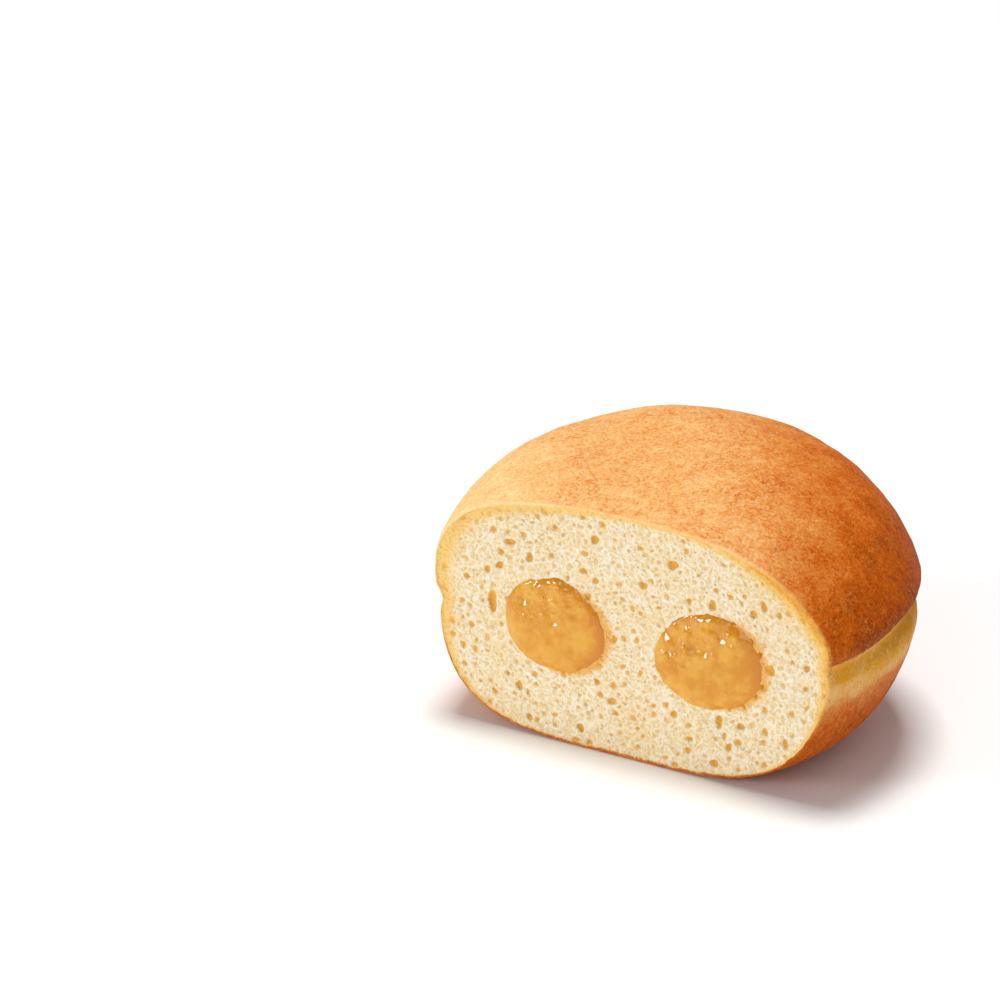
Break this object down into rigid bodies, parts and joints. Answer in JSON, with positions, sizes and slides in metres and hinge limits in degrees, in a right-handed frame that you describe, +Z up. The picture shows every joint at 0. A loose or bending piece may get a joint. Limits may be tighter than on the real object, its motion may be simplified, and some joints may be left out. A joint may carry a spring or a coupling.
{
  "type": "filled doughnut",
  "caption": "Fried yeast doughnut with a jelly filling, cut through so that its open crumb and the filling show",
  "frame": {"origin": "bottom centre of the whole part's box, on the surface it rests on", "axes": "+X along the long side of the cut, +Y from the cut face towards the whole back, +Z up"},
  "size_m": [0.0846, 0.0624, 0.049],
  "materials": {
    "fried_dough": "soft fried crust, golden, with a matt cream crumb at the cut",
    "crumb": "open, dry, matt crumb",
    "jelly": "wet, glossy, translucent amber jelly"
  },
  "bodies": {
    "root": {"dough": "fried_dough", "filling_left": "jelly", "filling_right": "jelly"}
  },
  "joints": []
}
